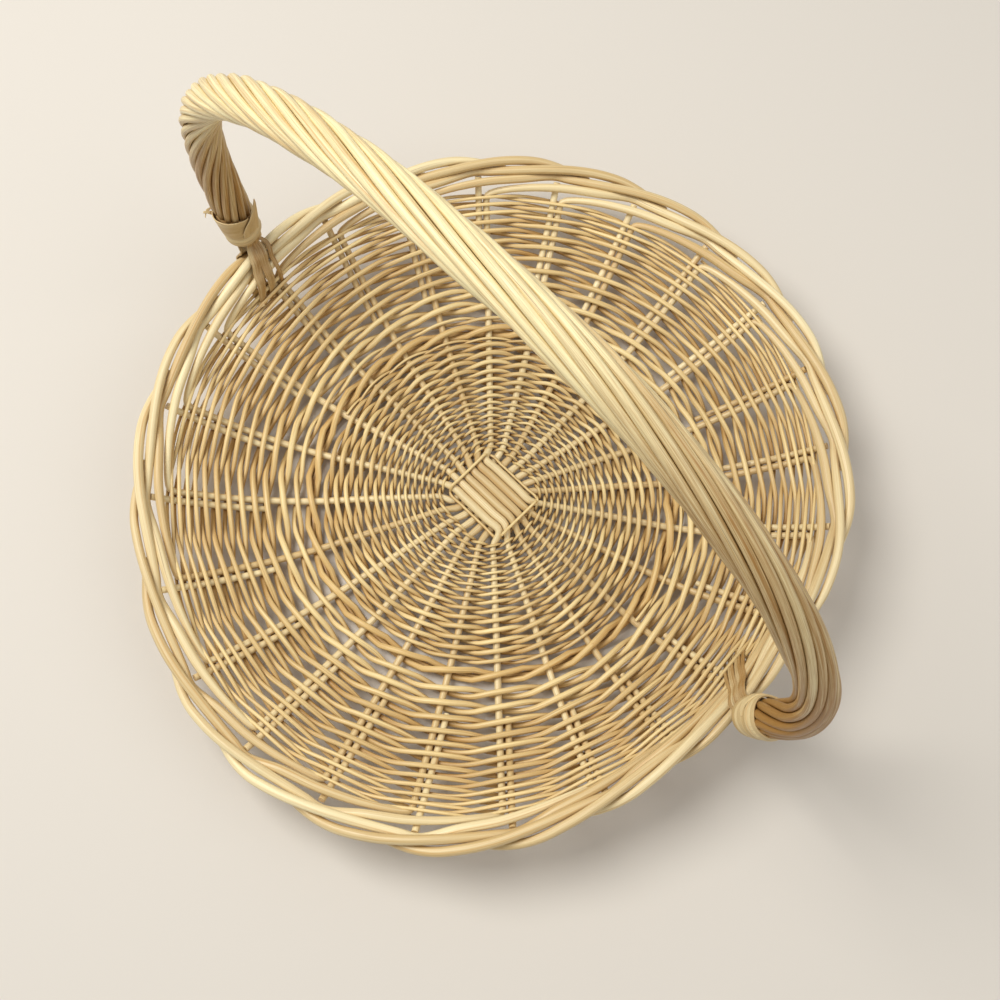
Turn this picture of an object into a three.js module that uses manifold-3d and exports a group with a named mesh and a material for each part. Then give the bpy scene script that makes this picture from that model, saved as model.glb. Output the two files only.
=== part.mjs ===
import * as THREE from "three";
import Module from "manifold-3d";

// Shallow round gathering basket of peeled willow rods with a twisted rope handle.
// Millimetres, +Z up. The origin lies on the table under the middle of the base, the handle spans along X.

// Stakes: rods that cross in the base, run up the side and are laid down to make the border
const STAKES_EACH_WAY = 6;
const STAKE_DIAMETER = 4.3;
const SLATH_PITCH = 5.5;
const SLATH_HALF_LENGTH = 19;
const SLATH_OPENING_RADIUS = 33;
const ARM_TURN_DEGREES = -5.5;

// Shape of the basket
const BASE_RADIUS = 108;
const BASE_DOME = 5;
const RIM_RADIUS = 212;
const RIM_HEIGHT = 50;
const RIM_OVAL_SHARE = 0.048;
const RIM_SADDLE = 10;
const FOOT_FLAT = 0.5;

// Made by hand: at equal steps round the basket, the share of its radius by which the rim stands out,
// and the degrees by which the stakes stray
const RIM_UNEVEN = [
  -0.019, -0.014, 0.012, 0.005, -0.007, -0.014, -0.019, -0.019, -0.014, -0.005, 0.002, 0.007,
  0.012, 0.014, 0.014, 0, -0.019, -0.016, -0.005, 0.002, 0.014, 0.014, -0.009, -0.023,
];
const STAKE_STRAY_DEGREES = [
  0.4, 1, 2.6, 2.4, 2, 1, 0.4, 0.2, -0.4, -1.2, -1.4, -1.6,
  -2, -2.6, -2, -1, 0, 0.8, 0, -0.8, -0.4, -0.4, 0.4, 0.6,
];

// Weaving
const BASE_WEAVER_DIAMETER = 2.3;
const BASE_ROW_PITCH = 3.1;
const WALE_DIAMETER = 4.3;
const WALE_ROW_PITCH = 4.4;
const WALE_RODS = 3;
const SIDE_WEAVER_DIAMETER = 3.8;
const SIDE_ROW_PITCH = 4.3;
const WEAVERS_IN_CHASE = 2;
const BYE_STAKE_OUT = 32;
const PAIR_PITCH = 5.2;

// Border
const BORDER_RADIUS = 4.2;
const BORDER_STAKES = 2.6;
const BORDER_TURN_DEGREES = 115;
const BORDER_START_DEGREES = -10;
const LAY_DOWN = 19.2;
const RISE_END = 7.6;
const RISER_STAKES = 1.45;
const SIDE_GAP = 24.6;
const PEG_GAP = 1.3;

// Handle
const HANDLE_HALF_SPAN = 223;
const HANDLE_SHOULDER = 155;
const HANDLE_TOP = 338;
const HANDLE_ARCH_POWER = 2.1;
const HANDLE_CROWN_SHIFT = 18.5;
const LEG_OUT = 9;
const LEG_UP = 11.2;
const BOW_DIAMETER = 11.3;
const ROD_COUNT = 12;
const ROD_DIAMETER = 3.7;
const ROD_RING_RADIUS = 8.9;
const EVEN_TURNS = 2.15;
const SHOULDER_TURNS = 0.6;
const ROOT_LENGTH = 30;

// Bindings at the two handle legs
const BINDING_DIAMETER = 2.2;
const BINDING_PITCH = 3.2;
const BINDING_TURNS = 7;
const BINDING_START = 4;
const BINDING_STEPS = 10;

// Gaps left between rods that touch
const SEAT_GAP = 0.3;
const BASE_WEAVE_GAP = 0.7;
const WEAVE_GAP = 0.8;

const SQUARE = 4;
const ROUND = 6;
const ARM_COUNT = 4 * STAKES_EACH_WAY;
const ARM_STEP = 2 * Math.PI / ARM_COUNT;
const armTurn = THREE.MathUtils.degToRad(ARM_TURN_DEGREES);
const byeStart = BASE_RADIUS + BYE_STAKE_OUT;

// Half the thickness of a rod drawn with flat sides and the cross-section of a round one
function flatHalf(diameter, sides) {
  return cornerRadius(diameter, sides) * Math.cos(Math.PI / sides);
}

function cornerRadius(diameter, sides) {
  return diameter / 2 * Math.sqrt(2 * Math.PI / (sides * Math.sin(2 * Math.PI / sides)));
}

const stakeHalf = flatHalf(STAKE_DIAMETER, SQUARE);
const rodHalf = flatHalf(ROD_DIAMETER, SQUARE);
const waleHalf = flatHalf(WALE_DIAMETER, SQUARE);
const sideHalf = flatHalf(SIDE_WEAVER_DIAMETER, SQUARE);

// Height of a weaver over the middle of the stakes it passes, so that its straight runs clear them
function peakHeight(radius, weaverHalf, halfSpan, gap) {
  const run = radius * ARM_STEP;
  return (weaverHalf + stakeHalf + gap) / (1 - 2 * halfSpan / run);
}

// The innermost waling row stands on the table
const footPeak = peakHeight(BASE_RADIUS, waleHalf, stakeHalf, WEAVE_GAP);
const FOOT_HEIGHT = footPeak + waleHalf - FOOT_FLAT;
const wallDepth = RIM_RADIUS - BASE_RADIUS;
const wallRise = RIM_HEIGHT - FOOT_HEIGHT;

// Middle surface of base and side, along which the stakes lie
function surfaceHeight(radius) {
  if (radius < BASE_RADIUS) {
    return FOOT_HEIGHT + BASE_DOME * (1 - (radius / BASE_RADIUS) ** 2);
  }
  return FOOT_HEIGHT + wallRise * ((radius - BASE_RADIUS) / wallDepth) ** 2;
}

function surfaceSlope(radius) {
  if (radius < BASE_RADIUS) {
    return -2 * BASE_DOME * radius / BASE_RADIUS ** 2;
  }
  return 2 * wallRise * (radius - BASE_RADIUS) / wallDepth ** 2;
}

// A smooth value between those that a table gives at equal steps round the basket
function between(table, angle) {
  const place = angle / (2 * Math.PI) * table.length;
  const first = Math.floor(place);
  const share = place - first;
  const at = (step) => table[(((first + step) % table.length) + table.length) % table.length];
  const bend = 2 * at(-1) - 5 * at(0) + 4 * at(1) - at(2);
  const twist = 3 * (at(0) - at(1)) + at(2) - at(-1);
  return at(0) + share / 2 * (at(1) - at(-1) + share * (bend + share * twist));
}

function strayed(angle) {
  return angle + THREE.MathUtils.degToRad(between(STAKE_STRAY_DEGREES, angle));
}

// The handle draws the rim in and up at its two ends
function drawnIn(radius, angle, height, share) {
  const swing = share * Math.cos(2 * angle);
  const reach = radius * (1 - RIM_OVAL_SHARE * swing + share * between(RIM_UNEVEN, angle));
  const turn = strayed(angle);
  return new THREE.Vector3(reach * Math.cos(turn), reach * Math.sin(turn), height + RIM_SADDLE * swing);
}

function wallShare(radius) {
  return (Math.max(0, radius - BASE_RADIUS) / wallDepth) ** 2;
}

function onSurface(radius, angle, lift) {
  const slope = surfaceSlope(radius);
  const length = Math.hypot(1, slope);
  const reach = radius - lift * slope / length;
  return drawnIn(reach, angle, surfaceHeight(radius) + lift / length, wallShare(radius));
}

function surfaceNormal(radius, angle) {
  const slope = surfaceSlope(radius);
  const turn = strayed(angle);
  return new THREE.Vector3(-slope * Math.cos(turn), -slope * Math.sin(turn), 1).normalize();
}

// Radius on the side a given way down the slope from the middle of the border
function radiusBelowRim(distance) {
  let radius = RIM_RADIUS;
  const steps = 40;
  for (let step = 0; step < steps; step++) {
    radius -= distance / steps / Math.hypot(1, surfaceSlope(radius));
  }
  return radius;
}

function armAngle(arm) {
  return (arm + 0.5) * ARM_STEP + armTurn;
}

// A rod through given points, each with the direction that its flat side faces
class RodPath extends THREE.Curve {
  constructor() {
    super();
    this.points = [];
    this.facings = [];
  }

  add(point, facing) {
    this.points.push(point);
    this.facings.push(facing);
  }

  getSpacedPoints() {
    return this.points;
  }

  computeFrenetFrames() {
    const frames = { tangents: [], normals: [], binormals: [] };
    const last = this.points.length - 1;
    this.points.forEach((point, index) => {
      const ahead = this.points[Math.min(index + 1, last)].clone().sub(point).normalize();
      const behind = point.clone().sub(this.points[Math.max(index - 1, 0)]).normalize();
      const tangent = ahead.add(behind).normalize();
      const normal = this.facings[index].clone().addScaledVector(tangent, -tangent.dot(this.facings[index]));
      normal.normalize();
      frames.tangents.push(tangent);
      frames.normals.push(normal);
      frames.binormals.push(tangent.clone().cross(normal));
    });
    return frames;
  }
}

function sweep(path, diameter, sides) {
  const radius = cornerRadius(diameter, sides);
  const corners = [];
  for (let corner = 0; corner < sides; corner++) {
    const turn = 2 * Math.PI * (corner + 0.5) / sides;
    corners.push(new THREE.Vector2(radius * Math.cos(turn), radius * Math.sin(turn)));
  }
  const steps = path.points.length - 1;
  const options = { steps, extrudePath: path, bevelEnabled: false };
  return new THREE.ExtrudeGeometry(new THREE.Shape(corners), options);
}

const wasm = await Module();
wasm.setup();

function asSolid(geometry) {
  const position = geometry.getAttribute("position");
  const mesh = new wasm.Mesh({
    numProp: 3,
    vertProperties: new Float32Array(position.array),
    triVerts: Uint32Array.from({ length: position.count }, (unused, index) => index),
  });
  mesh.merge();
  return new wasm.Manifold(mesh);
}

// Rods that would reach under the table are worn flat where they stand
function standOnTable(geometry) {
  const size = 3 * RIM_RADIUS;
  const below = new THREE.BoxGeometry(size, size, size).toNonIndexed();
  below.translate(0, 0, -size / 2);
  const mesh = asSolid(geometry).subtract(asSolid(below)).getMesh();
  const trimmed = new THREE.BufferGeometry();
  trimmed.setAttribute("position", new THREE.BufferAttribute(mesh.vertProperties, 3));
  trimmed.setIndex(new THREE.BufferAttribute(mesh.triVerts, 1));
  trimmed.computeVertexNormals();
  return trimmed;
}

const stakeWillow = new THREE.MeshStandardMaterial({ color: 0xd9b679, roughness: 0.55 });
const weaverWillow = new THREE.MeshStandardMaterial({ color: 0xcfa562, roughness: 0.55 });
const waleWillow = new THREE.MeshStandardMaterial({ color: 0xb98740, roughness: 0.55 });
const handleWillow = new THREE.MeshStandardMaterial({ color: 0xdcb878, roughness: 0.45 });
const bindingCane = new THREE.MeshStandardMaterial({ color: 0xe3cb98, roughness: 0.5 });

const basket = new THREE.Group();
basket.name = "gathering_basket";

function addPiece(name, geometry, material) {
  const mesh = new THREE.Mesh(geometry, material);
  mesh.name = name;
  basket.add(mesh);
}

function numbered(stem, number) {
  return `${stem}_${String(number).padStart(2, "0")}`;
}

// Border: each stake is laid down clockwise, rises over the inside of a peg and winds round the rim,
// where three at a time make a rope
const borderTurn = THREE.MathUtils.degToRad(BORDER_TURN_DEGREES);
const borderStart = THREE.MathUtils.degToRad(BORDER_START_DEGREES);
const borderOuter = BORDER_RADIUS + stakeHalf;
const riserLift = 2 * (stakeHalf + WEAVE_GAP);

function inBorder(angle, around, radius) {
  const reach = RIM_RADIUS - radius * Math.cos(around);
  return drawnIn(reach, angle, RIM_HEIGHT + radius * Math.sin(around), 1);
}

function borderFacing(angle, around) {
  const turn = strayed(angle);
  const out = -Math.cos(around);
  return new THREE.Vector3(out * Math.cos(turn), out * Math.sin(turn), Math.sin(around));
}

const sideTop = radiusBelowRim(SIDE_GAP);

// How far below the rim a laid stake lies after passing a number of others
function riserDown(passed) {
  const share = passed / RISER_STAKES;
  return LAY_DOWN - (LAY_DOWN - RISE_END) * (0.8 * share + 0.2 * share ** 2);
}

function armPoints(angle, layer, along, across) {
  const points = [];
  const slathLift = layer * (stakeHalf + SEAT_GAP / 2);
  const slathEnd = new THREE.Vector3(along.x, along.y, 0).multiplyScalar(SLATH_HALF_LENGTH).add(across);
  slathEnd.z = surfaceHeight(0) + slathLift;
  points.push([slathEnd, new THREE.Vector3(0, 0, 1)]);
  const wallSteps = 5;
  const stops = [SLATH_OPENING_RADIUS, (SLATH_OPENING_RADIUS + BASE_RADIUS) / 2];
  const wallTop = radiusBelowRim(LAY_DOWN + stakeHalf);
  for (let step = 0; step <= wallSteps; step++) {
    stops.push(BASE_RADIUS + (wallTop - BASE_RADIUS) * step / wallSteps);
  }
  stops.forEach((radius) => points.push([onSurface(radius, angle, 0), surfaceNormal(radius, angle)]));
  const pegPlace = 1 - PAIR_PITCH / (wallTop * ARM_STEP);
  const riserPlaces = [0.05, 0.25, 0.65, pegPlace, RISER_STAKES];
  riserPlaces.forEach((passed) => {
    const radius = radiusBelowRim(riserDown(passed));
    const run = angle - passed * ARM_STEP;
    const lift = riserLift * THREE.MathUtils.smoothstep(passed, 0, riserPlaces[2]);
    points.push([onSurface(radius, run, lift), surfaceNormal(radius, run)]);
  });
  const borderSteps = 7;
  const approach = 0.4;
  for (let step = 0; step <= borderSteps; step++) {
    const laid = BORDER_STAKES * step / borderSteps;
    const run = angle - (RISER_STAKES + approach + laid) * ARM_STEP;
    const around = borderStart + laid * borderTurn;
    points.push([inBorder(run, around, BORDER_RADIUS), borderFacing(run, around)]);
  }
  return points;
}

// Six stakes lie along the handle on top of six that cross under them
for (let layer = 1; layer >= -1; layer -= 2) {
  const heading = layer > 0 ? 0 : Math.PI / 2;
  const along = new THREE.Vector3(Math.cos(heading), Math.sin(heading), 0);
  const sideways = new THREE.Vector3(-along.y, along.x, 0);
  for (let stake = 0; stake < STAKES_EACH_WAY; stake++) {
    const place = stake - (STAKES_EACH_WAY - 1) / 2;
    const across = sideways.clone().multiplyScalar(place * SLATH_PITCH);
    const spread = place * ARM_STEP;
    const front = armPoints(heading + spread + armTurn, layer, along, across);
    const back = armPoints(heading + Math.PI - spread + armTurn, layer, along.clone().negate(), across);
    const path = new RodPath();
    back.reverse().forEach(([point, facing]) => path.add(point, facing));
    front.forEach(([point, facing]) => path.add(point, facing));
    const stem = layer > 0 ? "long_stake" : "cross_stake";
    addPiece(numbered(stem, stake + 1), sweep(path, STAKE_DIAMETER, SQUARE), stakeWillow);
  }
}

// A bye-stake beside each stake, from the lower side up to a peg just under the border
const pegTop = radiusBelowRim(borderOuter + PEG_GAP);
for (let arm = 0; arm < ARM_COUNT; arm++) {
  const path = new RodPath();
  const steps = 5;
  for (let step = 0; step <= steps; step++) {
    const radius = byeStart + (pegTop - byeStart) * step / steps;
    const angle = armAngle(arm) + PAIR_PITCH / radius;
    path.add(onSurface(radius, angle, 0), surfaceNormal(radius, angle));
  }
  addPiece(numbered("bye_stake", arm + 1), sweep(path, STAKE_DIAMETER, SQUARE), stakeWillow);
}

// A weaver climbs from one radius to another and takes the side of each stake that `over` gives
function weave(options) {
  const { from, to, pitch, diameter, strand, strands, gap, over, laps } = options;
  const half = flatHalf(diameter, SQUARE);
  const path = new RodPath();
  const first = Math.round(strand * ARM_COUNT / strands);
  let radius = from;
  for (let count = 0; radius < to && !(count > laps * ARM_COUNT); count++) {
    const arm = first + count;
    const paired = radius > byeStart - pitch;
    const halfSpan = stakeHalf + (paired ? PAIR_PITCH / 2 : 0);
    const angle = armAngle(arm) + (paired ? PAIR_PITCH / 2 / radius : 0);
    const lift = over(arm, count) * peakHeight(radius, half, halfSpan, gap);
    path.add(onSurface(radius, angle, lift), surfaceNormal(radius, angle));
    radius += strands * pitch / ARM_COUNT / Math.hypot(1, surfaceSlope(radius));
  }
  return sweep(path, diameter, SQUARE);
}

function everyOther(arm, strand) {
  return (arm + strand) % 2 === 0 ? 1 : -1;
}

// Base: one round binds the four groups of the slath, then two rods chase each other over and under
const baseStart = SLATH_OPENING_RADIUS + BASE_ROW_PITCH;
for (let strand = 0; strand < WEAVERS_IN_CHASE; strand++) {
  const geometry = weave({
    from: baseStart,
    to: BASE_RADIUS - BASE_WEAVER_DIAMETER,
    pitch: BASE_ROW_PITCH,
    diameter: BASE_WEAVER_DIAMETER,
    strand,
    strands: WEAVERS_IN_CHASE,
    gap: BASE_WEAVE_GAP,
    laps: Infinity,
    over: (arm, count) => {
      const group = Math.floor((arm + STAKES_EACH_WAY / 2) / STAKES_EACH_WAY);
      return everyOther(count < ARM_COUNT ? group : arm, strand);
    },
  });
  addPiece(`base_weaver_${strand + 1}`, geometry, weaverWillow);
}

// Waling: three rods, each outside two stakes and inside one, make the foot at the edge of the base
for (let strand = 0; strand < WALE_RODS; strand++) {
  const geometry = weave({
    from: BASE_RADIUS + waleHalf,
    to: RIM_RADIUS,
    pitch: WALE_ROW_PITCH,
    diameter: WALE_DIAMETER,
    strand,
    strands: WALE_RODS,
    gap: WEAVE_GAP,
    laps: 1,
    over: (arm) => ((arm + strand) % WALE_RODS === 0 ? 1 : -1),
  });
  addPiece(`wale_rod_${strand + 1}`, standOnTable(geometry), waleWillow);
}

// Side: two rods chase each other up to just under the border
const sideStart = BASE_RADIUS + waleHalf + WALE_RODS * WALE_ROW_PITCH + SIDE_ROW_PITCH;
for (let strand = 0; strand < WEAVERS_IN_CHASE; strand++) {
  const geometry = weave({
    from: sideStart,
    to: sideTop,
    pitch: SIDE_ROW_PITCH,
    diameter: SIDE_WEAVER_DIAMETER,
    strand,
    strands: WEAVERS_IN_CHASE,
    gap: WEAVE_GAP,
    laps: Infinity,
    over: (arm) => everyOther(arm, strand),
  });
  addPiece(`side_weaver_${strand + 1}`, standOnTable(geometry), weaverWillow);
}

// Where round the border a leg of the handle stands
function legAngle(end) {
  const heading = end > 0 ? 0 : Math.PI;
  let angle = heading;
  for (let pass = 0; pass < 4; pass++) {
    angle += heading - strayed(angle);
  }
  return angle;
}

// Handle line: legs on the border, then a squarish arch
function halfLine(end) {
  const rimEnd = drawnIn(RIM_RADIUS, legAngle(end), RIM_HEIGHT, 1);
  const foot = new THREE.Vector3(rimEnd.x + end * LEG_OUT, 0, rimEnd.z + borderOuter + LEG_UP - LEG_OUT);
  const half = [foot];
  const legSteps = 3;
  for (let step = 1; step < legSteps; step++) {
    const share = step / legSteps;
    const bulge = Math.sin(share * Math.PI / 2);
    const out = foot.x + (end * HANDLE_HALF_SPAN - foot.x) * bulge;
    half.push(new THREE.Vector3(out, 0, foot.z + (HANDLE_SHOULDER - foot.z) * share));
  }
  const archRise = HANDLE_TOP - HANDLE_SHOULDER;
  const archSteps = 6;
  for (let step = 0; step <= archSteps; step++) {
    const turn = step / archSteps * Math.PI / 2;
    const reach = end * HANDLE_HALF_SPAN - HANDLE_CROWN_SHIFT;
    const out = HANDLE_CROWN_SHIFT + reach * Math.max(0, Math.cos(turn)) ** (2 / HANDLE_ARCH_POWER);
    const up = HANDLE_SHOULDER + archRise * Math.sin(turn) ** (2 / HANDLE_ARCH_POWER);
    half.push(new THREE.Vector3(out, 0, up));
  }
  return half;
}

const handleLine = new THREE.CatmullRomCurve3([...halfLine(-1).slice(0, -1), ...halfLine(1).reverse()]);
const handleLength = handleLine.getLength();
const acrossHandle = new THREE.Vector3(0, 1, 0);

function outOfArch(share) {
  const tangent = handleLine.getTangentAt(share);
  return new THREE.Vector3(-tangent.z, 0, tangent.x);
}

function roundHandle(share, turn) {
  return outOfArch(share).multiplyScalar(Math.cos(turn)).addScaledVector(acrossHandle, Math.sin(turn));
}

const handleSteps = 36;
const footShare = BINDING_START / handleLength;
const bow = new RodPath();
for (let step = 0; step <= handleSteps; step++) {
  const share = THREE.MathUtils.clamp(step / handleSteps, footShare, 1 - footShare);
  bow.add(handleLine.getPointAt(share), acrossHandle);
}
addPiece("handle_bow", sweep(bow, BOW_DIAMETER, ROUND), handleWillow);

// Rope twist: tighter over the left shoulder, looser along the top
function twist(share) {
  const shoulder = THREE.MathUtils.smoothstep(share, 0.02, 0.5);
  return -2 * Math.PI * (EVEN_TURNS * share + SHOULDER_TURNS * shoulder);
}

// Below the binding a rooted rod passes one face of the border and lies down on the side
function rootPoints(end, inside, offset) {
  const points = [];
  const angle = legAngle(end);
  const shift = new THREE.Vector3(0, offset, 0);
  const bends = inside ? [1.4, 0.8] : [2.6, 3.4];
  const around = (borderOuter + rodHalf + WEAVE_GAP) / Math.cos((bends[0] - bends[1]) / 2);
  bends.forEach((bend) => {
    const point = inBorder(angle, bend, around);
    const facing = new THREE.Vector3(-end * Math.cos(bend), 0, Math.sin(bend));
    points.push([point.add(shift), facing]);
  });
  const face = inside ? 1 : -1;
  const rootSteps = 3;
  for (let step = 0; step <= rootSteps; step++) {
    const radius = radiusBelowRim(borderOuter + (ROOT_LENGTH - borderOuter) * step / rootSteps);
    const peak = peakHeight(radius, sideHalf, stakeHalf + PAIR_PITCH / 2, WEAVE_GAP);
    const lift = Math.max(peak + sideHalf, riserLift + stakeHalf) + rodHalf + 2 * WEAVE_GAP;
    const point = onSurface(radius, angle, face * lift);
    points.push([point.add(shift), surfaceNormal(radius, angle).multiplyScalar(face)]);
  }
  return points;
}

const bindingLength = BINDING_TURNS * BINDING_PITCH;
const tipShare = (BINDING_START + bindingLength / 2) / handleLength;
for (let rod = 0; rod < ROD_COUNT; rod++) {
  const start = 2 * Math.PI * rod / ROD_COUNT;
  const rootedLeft = Math.abs(Math.cos(start)) > Math.SQRT1_2;
  const end = rootedLeft ? -1 : 1;
  const from = rootedLeft ? footShare : tipShare;
  const to = rootedLeft ? 1 - tipShare : 1 - footShare;
  const rootTurn = start + (rootedLeft ? twist(from) : twist(to));
  const inside = Math.cos(rootTurn) < 0;
  const offset = ROD_RING_RADIUS * Math.sin(rootTurn);
  const root = rootPoints(end, inside, offset);
  const path = new RodPath();
  if (rootedLeft) {
    root.slice().reverse().forEach(([point, facing]) => path.add(point, facing));
  }
  for (let step = 0; step <= handleSteps; step++) {
    const share = THREE.MathUtils.clamp(step / handleSteps, from, to);
    const facing = roundHandle(share, start + twist(share));
    path.add(handleLine.getPointAt(share).addScaledVector(facing, ROD_RING_RADIUS), facing);
  }
  if (!rootedLeft) {
    root.forEach(([point, facing]) => path.add(point, facing));
  }
  addPiece(numbered("handle_rod", rod + 1), sweep(path, ROD_DIAMETER, SQUARE), handleWillow);
}

// Bindings: one unbroken strip of cane wound round each leg
const rodCorner = Math.hypot(ROD_RING_RADIUS + rodHalf, rodHalf);
const bindingCorner = cornerRadius(BINDING_DIAMETER, ROUND);
const bindingRadius = (rodCorner + SEAT_GAP + bindingCorner) / Math.cos(Math.PI / BINDING_STEPS);

function leastGap(points) {
  let least = Infinity;
  points.forEach((point, index) => {
    for (let other = index + BINDING_STEPS / 2; other < points.length; other++) {
      least = Math.min(least, point.distanceTo(points[other]));
    }
  });
  return least - 2 * bindingCorner;
}

for (const [name, end] of [["binding_left", -1], ["binding_right", 1]]) {
  const path = new RodPath();
  const steps = BINDING_TURNS * BINDING_STEPS;
  for (let step = 0; step <= steps; step++) {
    const distance = (BINDING_START + bindingLength * step / steps) / handleLength;
    const share = end < 0 ? distance : 1 - distance;
    const facing = roundHandle(share, 2 * Math.PI * step / BINDING_STEPS);
    path.add(handleLine.getPointAt(share).addScaledVector(facing, bindingRadius), facing);
  }
  const { points, facings } = path;
  const lead = points[0].clone().sub(points[1]).setLength(BINDING_DIAMETER).add(points[0]);
  const tail = points[steps].clone().sub(points[steps - 1]).setLength(BINDING_DIAMETER).add(points[steps]);
  points.unshift(lead);
  facings.unshift(facings[0]);
  path.add(tail, facings[facings.length - 1]);
  console.log(`${name}: least gap to itself ${leastGap(points).toFixed(2)} mm`);
  addPiece(name, sweep(path, BINDING_DIAMETER, ROUND), bindingCane);
}

export default basket;
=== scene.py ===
import math
import random

import bpy
import numpy as np
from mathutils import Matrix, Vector


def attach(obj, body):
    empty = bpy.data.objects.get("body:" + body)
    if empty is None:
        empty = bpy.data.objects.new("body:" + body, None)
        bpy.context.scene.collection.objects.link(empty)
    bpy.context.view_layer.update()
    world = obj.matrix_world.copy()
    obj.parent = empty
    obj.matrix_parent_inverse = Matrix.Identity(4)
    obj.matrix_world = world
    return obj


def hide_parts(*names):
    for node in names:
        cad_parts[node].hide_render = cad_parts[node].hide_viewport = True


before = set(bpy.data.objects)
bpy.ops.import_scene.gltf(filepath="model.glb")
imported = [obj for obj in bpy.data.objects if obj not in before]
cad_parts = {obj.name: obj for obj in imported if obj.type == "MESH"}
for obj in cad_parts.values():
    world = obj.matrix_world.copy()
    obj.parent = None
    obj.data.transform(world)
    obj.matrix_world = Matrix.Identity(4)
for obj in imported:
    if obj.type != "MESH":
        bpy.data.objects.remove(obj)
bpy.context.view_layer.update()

# Sizes of the basket in millimetres
MM = 0.001
STAKES_EACH_WAY = 6
ARM_COUNT = 24
ARM_STEP = math.tau / ARM_COUNT
SLATH_PITCH = 5.5
SLATH_PITCH_BELOW = SLATH_PITCH + 0.6
SLATH_HALF_LENGTH = 19.0
SLATH_LONGER_END = 1.5
SLATH_LAYER = 2.5
BASE_RADIUS = 108.0
BASE_DOME = 5.0
RIM_RADIUS = 212.0
RIM_HEIGHT = 50.0
RIM_OVAL = 0.048
RIM_SADDLE = 10.0
FOOT_HEIGHT = 6.73
BYE_STAKE_START = BASE_RADIUS + 32
PAIR_PITCH = 5.2
ARM_TURN = math.radians(-5.5)
HANDLE_HALF_SPAN = 223.0
HANDLE_SHOULDER = 155.0
HANDLE_TOP = 338.0
HANDLE_SQUARENESS = 2.1
HANDLE_CROWN_SHIFT = 18.5
ROD_COUNT = 12
ROD_RING_RADIUS = 8.9
EVEN_TURNS = 2.15
SHOULDER_TURNS = 0.6
LEG_OUT = 9.0
LEG_UP = 8.5

# How far up the leg a rooted rod and a rod's tip begin
ROOTED_UP = 4.0
TIP_UP = 15.2

# Thickness of the rods, half of it
STAKE_HALF = 2.2
BORDER_HALF = 2.95
WALE_HALF = 2.1
HANDLE_ROD_HALF = 2.42
BOW_HALF = 6.2
SLATH_STICK_HALF = 2.75
SLATH_END_HALF = 2.5
TIE_HALF = 0.95

# Rows of weaving
WEAVE_SAMPLES = 10
BASE_WEAVE_START = 29.5
BASE_WEAVE_STOP = 103.5
WALE_RADIUS = 114.0
WALE_PITCH = 3.2
SIDE_WEAVE_START = 120.5
SIDE_GAP = 21.0
BASE_WEAVER_LENGTH = 900
SIDE_WEAVER_LENGTH = 950
TIE_HALF_LONG = 22.2
TIE_HALF_ACROSS = 17.3
TIE_CORNER = 2.6
TIE_SHIFT = 1.8
TIE_ABOVE = 6.0
TIE_BETWEEN = 1.3
TIE_BELOW = 5.7

# Height of a row of the side weave, by radius
SIDE_PITCHES = (
    (112, 10.4), (130, 9.5), (145, 8.8), (160, 8.1),
    (172, 7.3), (180, 6.4), (187, 5.5), (194, 5.0),
)

# Radii at which a stake is shaped between the crossing and the border
ARM_RADII = (33, 41, 52, 66, 80, 94, 108, 122, 136, 150, 162, 174, 184)

# Border: a stake is laid down clockwise, rises over the inside of a peg and winds round the rim, where
# three at a time make a rope. Each place gives how many stakes on, how far below the rim, and how far inside
RISER = (
    (0.02, 19.2, 0.2), (0.1, 17.2, 1.3), (0.28, 15.0, 3.2),
    (0.6, 12.4, 4.7), (1.0, 9.8, 4.9), (1.45, 7.4, 3.8),
)
LAY_DOWN = 19.4
ROPE_RADIUS = 3.95

# How far round the rope a strand has come, in degrees from its inner side over the top, so many stakes on
ROPE_STAKES = (1.85, 2.25, 3.5, 4.3)
ROPE_AROUND = (-48, 0, 140, 285)

# Roots of the handle rods below the border: how far below the rim, and how far off the side
LEFT_ROOT_DOWN = ((8, 7.4), (12, 8.0), (16, 7.2), (20, 4.6), (24, 0.8), (28, -2.6))
RIGHT_ROOT_DOWN = ((8, 7.4), (13, 8.4), (18, 8.0), (23, 6.4), (28, 3.6), (32, 0.4), (35, -2.4))
ROOT_RING = 7.6
ROOT_CLEAR = 1.1
ROOT_THICKNESS = 1.0
ROOT_NARROW = 2.2
ROOT_BROAD = 5.2
LEFT_ROOT_LEAN = 11
RIGHT_ROOT_LEAN = 24
LEAN_FROM = 8
LEAN_RUN = 39
SPLIT_APART = 1.25

# Bindings
BOUND_RADIUS = ROD_RING_RADIUS + HANDLE_ROD_HALF - 0.6
CANE_PITCH = 3.2
CANE_THICKNESS = 0.9
CANE_END_THICKNESS = 0.6

# The basket is made by hand: at equal steps round it, the share of its radius by which the rim stands out,
# and the degrees by which the stakes stray
RIM_UNEVEN = (
    -0.019, -0.014, 0.012, 0.005, -0.007, -0.014, -0.019, -0.019, -0.014, -0.005, 0.002, 0.007,
    0.012, 0.014, 0.014, 0, -0.019, -0.016, -0.005, 0.002, 0.014, 0.014, -0.009, -0.023,
)
STAKE_STRAY = (
    0.4, 1, 2.6, 2.4, 2, 1, 0.4, 0.2, -0.4, -1.2, -1.4, -1.6,
    -2, -2.6, -2, -1, 0, 0.8, 0, -0.8, -0.4, -0.4, 0.4, 0.6,
)

chance = random.Random(41)


# Shape of the basket

def surface_height(radius):
    if radius < BASE_RADIUS:
        return FOOT_HEIGHT + BASE_DOME * (1 - (radius / BASE_RADIUS) ** 2)
    share = (radius - BASE_RADIUS) / (RIM_RADIUS - BASE_RADIUS)
    return FOOT_HEIGHT + (RIM_HEIGHT - FOOT_HEIGHT) * share ** 2


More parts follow.
